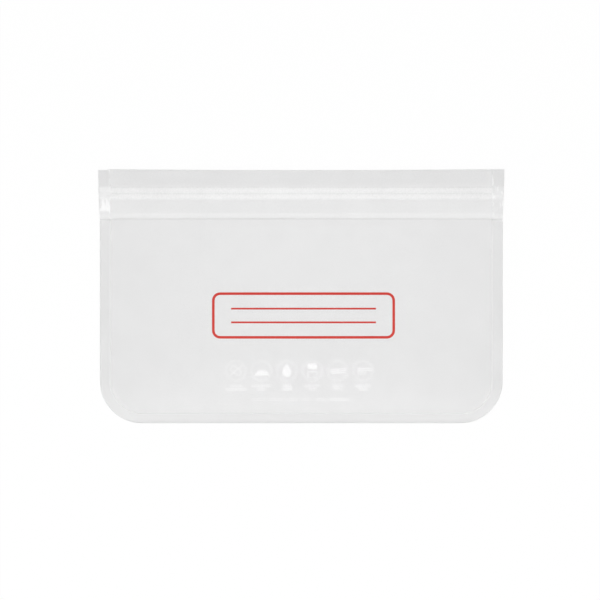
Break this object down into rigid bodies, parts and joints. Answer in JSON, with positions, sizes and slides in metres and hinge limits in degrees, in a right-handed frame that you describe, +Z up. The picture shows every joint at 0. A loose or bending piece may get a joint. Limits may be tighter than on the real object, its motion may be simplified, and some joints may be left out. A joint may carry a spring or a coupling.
{
  "type": "reusable zip-top storage bag",
  "caption": "Frosted flexible storage bag with welded sides and bottom, rounded bottom corners and a press-shut double-track zip along its mouth",
  "frame": {"origin": "centre of the outer face of the back film, which lies at z = 0", "axes": "+X along the mouth, +Y from the bottom seam to the lips, +Z up out of the front film"},
  "size_m": [0.2036, 0.127, 0.009],
  "materials": {
    "film": "frosted, translucent, soft",
    "weld": "frosted, pressed flat, translucent",
    "tape": "frosted, translucent, smooth",
    "track": "milky, satin"
  },
  "bodies": {
    "back_wall": {"back_film": "film", "rim_weld": "weld", "back_zip_tape": "tape", "upper_jaw_track": "track", "lower_jaw_track": "track", "left_zip_end": "weld", "right_zip_end": "weld"},
    "front_wall": {"front_film": "film", "front_zip_tape": "tape", "upper_hook_rib": "track", "lower_hook_rib": "track"}
  },
  "joints": [
    {"name": "mouth_open", "type": "hinge", "parent": "back_wall", "child": "front_wall", "pos_m": [0, -0.05785, 0.00105], "axis": [1, 0, 0], "range_deg": [0, 22], "deforming": ["upper_hook_rib", "lower_hook_rib"]}
  ]
}
